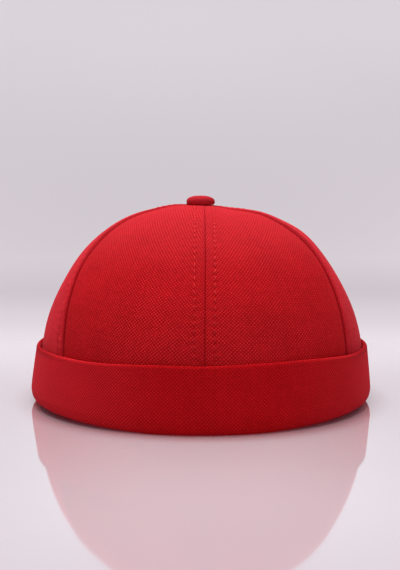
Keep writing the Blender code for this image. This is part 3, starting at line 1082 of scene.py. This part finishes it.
def sweepTree():
    # the section's points hold inset, climb and height: climb is 0 on the lower edge and 1 on the lip
    sizes = ["halfWidth", "halfDepth", "edgeLift", "liftStart", "liftPower"]
    tree, entry = newTree("sweep round the cap", "GeometryNodeTree", {
        "Geometry": ["section"], "Float": sizes, "Int": ["columns"], "Bool": ["flatCloth"],
        "Material": ["material"],
    }, {"Geometry": ["cloth"]})
    halfWidth, halfDepth, edgeLift, liftStart, liftPower = (entry[name] for name in sizes)
    count = output(tree, "GeometryNodeAttributeDomainSize", {0: entry["section"]}, "Point Count")
    corners = {"Size X": 1.0, "Size Y": 1.0, "Vertices X": entry["columns"] + 1.0, "Vertices Y": count}
    grid = output(tree, "GeometryNodeMeshGrid", corners, "Mesh")
    position = output(tree, "GeometryNodeInputPosition")
    across, along, _ = split(position)
    index = ((along + 0.5) * (count - 1.0)).rounded()

    def sample(value, kind):
        inputs = {"Geometry": entry["section"], "Value": value, "Index": index}
        return output(tree, "GeometryNodeSampleIndex", inputs, "Value", data_type=kind, domain="POINT")

    def store(geometry, name, value, **settings):
        inputs = {"Geometry": geometry, "Name": name, "Value": value}
        return output(tree, "GeometryNodeStoreNamedAttribute", inputs, **settings)

    inset, climb, height = split(sample(position, "FLOAT_VECTOR"))
    named = output(tree, "GeometryNodeInputNamedAttribute", {"Name": "sectionRun"}, data_type="FLOAT")
    run = sample(named, "FLOAT")
    angle = across * (2.0 * math.pi)
    sine, cosine = angle.sine(), angle.cosine()
    lift = ((abs(sine) - liftStart) / (1.0 - liftStart)).most(0.0) ** liftPower * edgeLift
    y = -((halfDepth - inset) * cosine)
    place = join(tree, (halfWidth - inset) * sine, y, height + lift * (1.0 - climb))

    # arc length round an oval is close to the mean radius times the angle, less a share of its double's sine
    swing = (angle * 2.0).sine() * ((halfDepth - halfWidth) * 0.25)
    wrapped = join(tree, (halfWidth + halfDepth) * 0.5 * angle - swing, run)
    spread = join(tree, run * sine, run * cosine)
    mapped = output(tree, "GeometryNodeSwitch", {
        "Switch": entry["flatCloth"], "False": wrapped, "True": spread}, input_type="VECTOR")
    stored = store(grid, "clothMap", mapped, data_type="FLOAT2", domain="CORNER")
    stored = store(stored, "climb", climb, data_type="FLOAT", domain="POINT")
    placed = output(tree, "GeometryNodeSetPosition", {"Geometry": stored, "Position": place})
    merged = output(tree, "GeometryNodeMergeByDistance", {"Geometry": placed, "Distance": 0.002 * mm})
    return finishTree(tree, entry, merged, "cloth")


roundSweep = sweepTree()


def sectionObject(name, points):
    # a line of points in order, with how far along it each one lies
    points = np.array(points)
    mesh = bpy.data.meshes.new(name)
    mesh.from_pydata(points.tolist(), [(i, i + 1) for i in range(len(points) - 1)], [])
    storeFloats(mesh, "sectionRun", runAlong(points[:, [0, 2]]))
    return addObject(name, mesh)


def cuffSection():
    # outwards along the bottom, up the outer face, over the lip and down inside
    shape = cuffShape
    thickness, belly, web, edge = (shape[name] for name in ("thickness", "belly", "webInset", "webEdge"))
    legTop = shape["height"] - shape["lipRise"]

    def leg(climb, inset):
        height = belly + (legTop - belly) * climb
        return float(leanAt(height, 0.0)) + inset, climb, height

    points = [(web, 0.0, edge), (web - edge, 0.0, 0.0)]
    points += [(inset, 0.0, 0.0) for inset in np.linspace(web - edge, shape["foldInset"], 4)[1:-1]]
    for turn in np.linspace(0.0, 0.5 * math.pi, 14):
        points.append((shape["foldInset"] * (1.0 - math.sin(turn)), 0.0, belly * (1.0 - math.cos(turn))))
    climbs = np.linspace(0.0, 1.0, 34)
    points += [leg(climb, 0.0) for climb in climbs[1:]]
    for turn in np.linspace(0.0, math.pi, 15)[1:-1]:
        inset, climb, height = leg(1.0, 0.5 * thickness * (1.0 - math.cos(turn)))
        points.append((inset, climb, height + shape["lipRise"] * math.sin(turn)))
    points += [leg(climb, thickness) for climb in climbs[::-3]]
    points += [(thickness, 0.0, thickness + edge), (thickness + edge, 0.0, thickness)]
    points += [(web - edge, 0.0, thickness), (web, 0.0, thickness - edge)]
    return points + points[:1]


def makeCuff():
    shape = cuffShape
    cuff = sectionObject("cuff_cloth", cuffSection())
    growWithNodes(cuff, roundSweep, dict(shape, material=clothMaterial(cuffCloth)))
    faceOutward(cuff.data)
    points = readVectors(cuff.data.vertices, "co")
    azimuth = np.degrees(np.arctan2(points[:, 0] / shape["halfWidth"], -points[:, 1] / shape["halfDepth"]))
    outward = points * (1.0, 1.0, 0.0)
    outward /= np.linalg.norm(outward, axis=1, keepdims=True)
    # the leg was swept with the front's height and lean, and takes those of its own azimuth
    climb = np.empty(len(points), np.float32)
    cuff.data.attributes["climb"].data.foreach_get("value", climb)
    belly = edgeHeight(azimuth) + shape["belly"]
    legRise = shape["height"] - shape["lipRise"] - shape["belly"]
    swept = leanAt(shape["belly"] + legRise * climb, 0.0)
    own = leanAt(belly + (lipHeight(azimuth) - shape["lipRise"] - belly) * climb, azimuth)
    points += outward * (swept - own)[:, None]
    points[:, 2] -= (shape["height"] - lipHeight(azimuth)) * climb
    # hand-turned cloth wavers a little where it stands free, and the band is joined at the back
    free = smoothStep((points[:, 2] - edgeHeight(azimuth)) / (shape["freeRise"] * shape["belly"]))
    fromBack = np.radians(np.abs(azimuth) - 180.0) * shape["halfWidth"]
    dip = shape["joinDepth"] * hump(fromBack, shape["joinWidth"])
    push = free * (wobble(points * (1.0, 1.0, 0.5), shape) - dip)
    writePoints(cuff.data, points + outward * push[:, None])
    # painted shade: over the hips the lip is painted a little darker, which tones down the light that its
    # round edge catches there
    onLip = hump(points[:, 2] - lipHeight(azimuth) - shape["lipShadeAt"], shape["lipShadeWidth"])
    paintedLipShade = shape["lipShade"] * onLip * ramp(np.abs(azimuth), *shape["lipShadeRise"])
    storeFloats(cuff.data, "paintedShade", paintedLipShade)
    return cuff


cuff = makeCuff()
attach(cuff, "root")
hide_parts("cuff")
print("Cuff has", len(cuff.data.polygons), "faces")

buttonLow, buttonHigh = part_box("top_button")
buttonShape = {
    "radius": 0.5 * (buttonHigh.x - buttonLow.x),
    "top": buttonHigh.z,
    "height": 5.0 * mm,
    "belly": 0.32,  # how high its widest place is, as a share of the height
    "shoulder": 2.4,
    "tuck": 1.0 * mm,
    "shank": 2.5 * mm,
    "shankClear": 2.0 * mm,
    "pleats": 14,
    "pleatDepth": 0.22 * mm,
    "pleatRise": (0.25, 0.75),  # the pleats fade between these shares of the height
    "pleatWander": 0.4,
    "wobble": 0.12 * mm,
    "wobbleSize": 7.0 * mm,
    "wobbleSeed": 5,
    "columns": 112,
}
buttonShape["foot"] = buttonShape["top"] - buttonShape["height"]


def buttonSection():
    shape = buttonShape
    belly = shape["belly"] * shape["height"]
    points = []
    for turn in np.linspace(0.5 * math.pi, 0.0, 22):
        radius = shape["radius"] * abs(math.cos(turn)) ** (2.0 / shape["shoulder"])
        up = (shape["height"] - belly) * max(0.0, math.sin(turn)) ** (2.0 / shape["shoulder"])
        points.append((radius, shape["foot"] + belly + up))
    points[0] = (0.0, shape["top"])
    for turn in np.linspace(0.0, 0.5 * math.pi, 9)[1:]:
        radius = shape["radius"] - shape["tuck"] * (1.0 - math.cos(turn))
        points.append((radius, shape["foot"] + belly * (1.0 - math.sin(turn))))
    points += [(shape["shank"], shape["foot"]), (shape["shank"], buttonLow.z), (0.0, buttonLow.z)]
    return [(shape["radius"] - radius, 0.0, height) for radius, height in points]


def makeButton():
    shape = buttonShape
    button = sectionObject("button_cloth", buttonSection())
    growWithNodes(button, roundSweep, dict(
        shape, halfWidth=shape["radius"], halfDepth=shape["radius"], flatCloth=True,
        material=clothMaterial(buttonCloth),
    ))
    faceOutward(button.data)
    # the cloth is gathered under the rim, and its pleats fade out over the shoulder
    points = readVectors(button.data.vertices, "co")
    angle = np.arctan2(points[:, 0], -points[:, 1])
    rim = 1.0 - ramp((points[:, 2] - shape["foot"]) / shape["height"], *shape["pleatRise"])
    radius = np.hypot(points[:, 0], points[:, 1])
    outside = ramp(radius, shape["shank"], shape["shank"] + shape["shankClear"])
    folds = np.abs(np.sin(0.5 * shape["pleats"] * angle + shape["pleatWander"] * np.sin(3.0 * angle)))
    push = outside * (wobble(points, shape) - shape["pleatDepth"] * rim * (1.0 - folds) ** 2)
    normals = readVectors(button.data.vertex_normals, "vector")
    writePoints(button.data, points + normals * push[:, None])
    return button


button = makeButton()
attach(button, "root")
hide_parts("top_button")
print("Button has", len(button.data.polygons), "faces")


# Topstitching: one small arched thread for each stitch, set along the rows by Geometry Nodes

def stitchTree():
    sizes = ["pitch", "length", "thread", "arch", "skew"]
    tree, entry = newTree("topstitch", "GeometryNodeTree", {
        "Geometry": ["rows"], "Float": sizes, "Int": ["seed"], "Material": ["material"],
    }, {"Geometry": ["stitches"]})
    pitch, stitchLength, threadRadius, arch, skew = (entry[name] for name in sizes)
    rows = output(tree, "GeometryNodeMeshToCurve", {0: entry["rows"]})
    spaced = output(tree, "GeometryNodeResampleCurve", {"Curve": rows, "Length": pitch}, mode="LENGTH")
    half = stitchLength * 0.5
    arc = output(tree, "GeometryNodeCurveQuadraticBezier", {
        "Resolution": stitching["arcPoints"],
        "Start": join(tree, -half, 0.0, arch * stitching["archEnd"]),
        "Middle": join(tree, 0.0, 0.0, arch * stitching["archPeak"]),
        "End": join(tree, half, 0.0, arch * stitching["archEnd"]),
    })
    # each thread is thinner where it dives into the cloth
    fromMiddle = abs(output(tree, "GeometryNodeSplineParameter", key="Factor") * 2.0 - 1.0)
    thickness = fromMiddle ** stitching["taperPower"] * -stitching["taper"] + 1.0
    tapered = output(tree, "GeometryNodeSetCurveRadius", {"Curve": arc, "Radius": thickness})
    circle = {"Resolution": stitching["sides"], "Radius": threadRadius}
    ring = output(tree, "GeometryNodeCurvePrimitiveCircle", circle)
    radius = output(tree, "GeometryNodeInputRadius")
    thread = {"Curve": tapered, "Profile Curve": ring, "Scale": radius, "Fill Caps": True}

    def align(vector, **settings):
        return output(tree, "FunctionNodeAlignRotationToVector", vector, **settings)

    def randomValue(low, high, seed):
        # sockets 2 and 3 are the limits of a random float, and output 1 is that float
        return output(tree, "FunctionNodeRandomValue", {2: low, 3: high, "Seed": seed}, 1, data_type="FLOAT")

    normal = {"Name": "clothNormal"}
    normal = output(tree, "GeometryNodeInputNamedAttribute", normal, data_type="FLOAT_VECTOR")
    alongRow = align({"Vector": output(tree, "GeometryNodeInputTangent")}, axis="X")
    facing = align({"Rotation": alongRow, "Vector": normal}, axis="Z", pivot_axis="X")
    tilt = join(tree, 0.0, 0.0, randomValue(-skew, skew, entry["seed"]))
    turned = output(tree, "FunctionNodeEulerToRotation", {0: tilt})
    rotation = {"Rotation": facing, "Rotate By": turned}
    placed = output(tree, "GeometryNodeInstanceOnPoints", {
        "Points": spaced,
        "Instance": output(tree, "GeometryNodeCurveToMesh", thread),
        "Rotation": output(tree, "FunctionNodeRotateRotation", rotation, rotation_space="LOCAL"),
        "Scale": join(tree, randomValue(*stitching["lengthSpread"], entry["seed"] + 1.0), 1.0, 1.0),
    })
    return finishTree(tree, entry, placed, "stitches")


def threadMaterial():
    material, tree, shader = newMaterial("sewing thread")
    place = objectPlace(tree)
    fibres = noise(place, stitching["fibreScale"], 2.0)
    dark = tuple(stitching["fibreDark"] * part for part in stitching["colour"])
    colour = mixColour("MIX", fibres, dark, stitching["colour"])
    # painted light: the thread is painted palest near the top, where the light from above falls on it, and
    # darker lower down
    paintedTopLight = rise(split(place)[2], stitching["paleFrom"], stitching["paleTo"])
    bump = {"Height": fibres, "Strength": stitching["bump"], "Distance": stitching["fibreDepth"]}
    plug(shader, {
        "Base Color": mixColour("MIX", paintedTopLight, stitching["lowColour"], colour),
        "Roughness": stitching["roughness"],
        "Specular IOR Level": stitching["specular"],
        "Sheen Weight": stitching["sheen"],
        "Sheen Tint": stitching["sheenTint"],
        "Normal": output(tree, "ShaderNodeBump", bump, "Normal"),
    })
    return material


def makeStitches():
    points, normals, edges = [], [], []
    for panel in panels.values():
        for place, normal in panel.stitchLines():
            start = len(points)
            points.extend(place)
            normals.extend(normal)
            edges.extend((i, i + 1) for i in range(start, len(points) - 1))
    mesh = bpy.data.meshes.new("crown_stitches")
    mesh.from_pydata([tuple(p) for p in points], edges, [])
    attribute = mesh.attributes.new("clothNormal", "FLOAT_VECTOR", "POINT")
    attribute.data.foreach_set("vector", np.array(normals, np.float32).ravel())
    stitches = addObject("crown_stitches", mesh)
    growWithNodes(stitches, stitchTree(), dict(stitching, material=threadMaterial()))
    return stitches


stitches = makeStitches()
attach(stitches, "root")
print("Stitching has", len(stitches.data.polygons), "faces")
